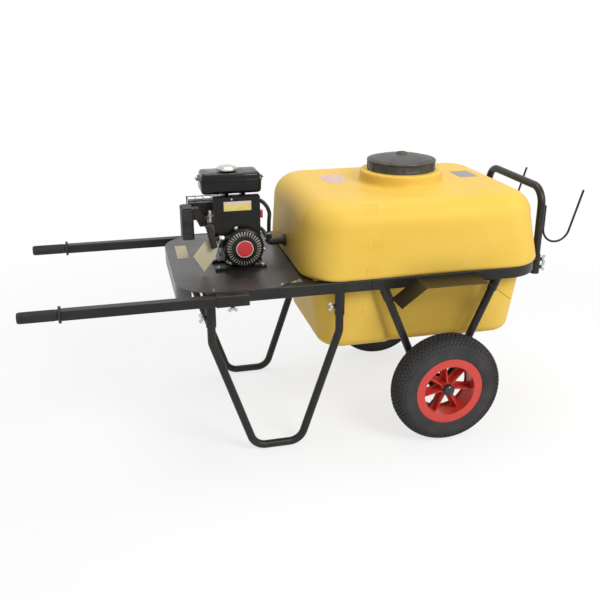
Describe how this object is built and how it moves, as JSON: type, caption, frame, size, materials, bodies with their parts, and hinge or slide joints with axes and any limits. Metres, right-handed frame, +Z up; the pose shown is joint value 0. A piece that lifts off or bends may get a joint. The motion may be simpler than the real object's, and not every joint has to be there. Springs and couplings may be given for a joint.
{
  "type": "wheeled sprayer cart",
  "caption": "Wheeled barrow-style sprayer cart: tubular frame with telescopic handles and legs, moulded liquid tank, small engine, spray pump and hose hooks.",
  "frame": {"origin": "ground level below the middle of the overall length, on the cart's middle plane", "axes": "+X from the handle grips towards the hose hooks, +Y across the cart to the left of whoever pushes it, +Z up"},
  "size_m": [1.9863, 0.86, 0.9709],
  "materials": {
    "frame": "satin black powder coat",
    "moulded": "satin rotomoulded plastic",
    "lid": "satin",
    "rim": "satin",
    "tyre": "matt",
    "rubber": "matt",
    "zinc": "zinc plated",
    "bronze": "sintered",
    "cast": "as cast",
    "engine_black": "satin black",
    "chrome": "polished",
    "red": "gloss",
    "pale_plastic": "satin",
    "filter_grey": "grained",
    "carb": "dull",
    "muffler": "heat-dulled",
    "card": "matt"
  },
  "bodies": {
    "frame": {"side_rails": "frame", "rear_loop": "frame", "cross_members": "frame", "engine_deck": "frame", "handle_sleeves": "frame", "leg_sockets": "frame", "support_sockets": "frame", "hoop_sockets": "frame", "mudguard_right": "frame", "mudguard_left": "frame", "support_right": "frame", "support_left": "frame", "axle_right": "frame", "axle_left": "frame", "axle_fasteners": "zinc", "wing_screws": "zinc", "tank": "moulded", "tank_outlet": "lid", "drain_valve": "zinc", "crankcase": "cast", "cylinder": "cast", "fan_shroud": "engine_black", "recoil_cover": "engine_black", "fuel_tank": "engine_black", "air_filter": "filter_grey", "carburettor": "carb", "muffler": "muffler", "muffler_guard": "engine_black", "pump": "cast", "hoses": "rubber", "engine_fittings": "zinc", "tags": "card"},
    "wheel_right": {"tyre_right": "tyre", "inner_tube_right": "rubber", "rim_right": "rim", "bush_right": "bronze", "hub_cap_right": "rubber"},
    "wheel_left": {"tyre_left": "tyre", "inner_tube_left": "rubber", "rim_left": "rim", "bush_left": "bronze", "hub_cap_left": "rubber"},
    "handle_right": {"handle_right": "frame", "grip_right": "rubber"},
    "handle_left": {"handle_left": "frame", "grip_left": "rubber"},
    "leg_right": {"leg_right": "frame"},
    "leg_left": {"leg_left": "frame"},
    "hoop": {"hoop": "frame", "hose_hooks": "frame"},
    "lid": {"tank_lid": "lid"},
    "basket": {"strainer_basket": "lid"},
    "drain_lever": {"drain_lever": "red"},
    "crankshaft": {"crankshaft": "zinc"},
    "starter_pulley": {"starter_pulley": "pale_plastic"},
    "starter_grip": {"starter_grip": "rubber"},
    "fuel_cap": {"fuel_cap": "chrome"},
    "choke_lever": {"choke_lever": "zinc"},
    "stop_switch": {"stop_switch": "red"},
    "pressure_knob": {"pressure_knob": "red"}
  },
  "joints": [
    {"name": "wheel_right_spin", "type": "hinge", "parent": "frame", "child": "wheel_right", "pos_m": [0.41384, -0.381, 0.2], "axis": [0, 1, 0], "continuous": true},
    {"name": "wheel_left_spin", "type": "hinge", "parent": "frame", "child": "wheel_left", "pos_m": [0.41384, 0.381, 0.2], "axis": [0, 1, 0], "continuous": true},
    {"name": "handle_right_slide", "type": "slide", "parent": "frame", "child": "handle_right", "axis": [-1, 0, 0], "range_m": [-0.4, 0.05]},
    {"name": "handle_left_slide", "type": "slide", "parent": "frame", "child": "handle_left", "axis": [-1, 0, 0], "range_m": [-0.4, 0.05]},
    {"name": "leg_right_slide", "type": "slide", "parent": "frame", "child": "leg_right", "axis": [0, 0, -1], "range_m": [0, 0.04]},
    {"name": "leg_left_slide", "type": "slide", "parent": "frame", "child": "leg_left", "axis": [0, 0, -1], "range_m": [0, 0.04]},
    {"name": "hoop_slide", "type": "slide", "parent": "frame", "child": "hoop", "axis": [0, 0, 1], "range_m": [0, 0.04]},
    {"name": "lid_lift", "type": "slide", "parent": "frame", "child": "lid", "axis": [0, 0, 1], "range_m": [0, 0.36]},
    {"name": "basket_lift", "type": "slide", "parent": "frame", "child": "basket", "axis": [0, 0, 1], "range_m": [0, 0.18]},
    {"name": "drain_lever_turn", "type": "hinge", "parent": "frame", "child": "drain_lever", "pos_m": [0.16384, -0.026, 0.297], "axis": [0, 1, 0], "range_deg": [-90, 0]},
    {"name": "crank_spin", "type": "hinge", "parent": "frame", "child": "crankshaft", "pos_m": [-0.25716, 0, 0.6945], "axis": [0, 1, 0], "continuous": true},
    {"name": "starter_pulley_turn", "type": "hinge", "parent": "frame", "child": "starter_pulley", "pos_m": [-0.25716, -0.144, 0.6945], "axis": [0, -1, 0], "range_deg": [0, 630]},
    {"name": "starter_pull", "type": "slide", "parent": "frame", "child": "starter_grip", "axis": [-1, 0, 0], "range_m": [0, 0.4], "stiffness_N_per_m": 80, "springref_m": -0.05},
    {"name": "fuel_cap_turn", "type": "hinge", "parent": "frame", "child": "fuel_cap", "pos_m": [-0.29316, -0.045, 0.945], "axis": [0, 0, 1], "range_deg": [0, 90]},
    {"name": "choke_lever_turn", "type": "hinge", "parent": "frame", "child": "choke_lever", "pos_m": [-0.36186, -0.086, 0.7805], "axis": [0, 1, 0], "range_deg": [0, 60]},
    {"name": "stop_switch_turn", "type": "hinge", "parent": "frame", "child": "stop_switch", "pos_m": [-0.19416, -0.112, 0.8025], "axis": [1, 0, 0], "range_deg": [-18, 18]},
    {"name": "pressure_knob_turn", "type": "hinge", "parent": "frame", "child": "pressure_knob", "pos_m": [-0.25716, 0.098, 0.7645], "axis": [0, 0, 1], "range_deg": [-360, 360]}
  ],
  "couplings": [
    {"joint": "basket_lift", "follows": "lid_lift", "ratio": 0.5},
    {"joint": "starter_pulley_turn", "follows": "starter_pull", "rad_per_m": 26.316}
  ]
}
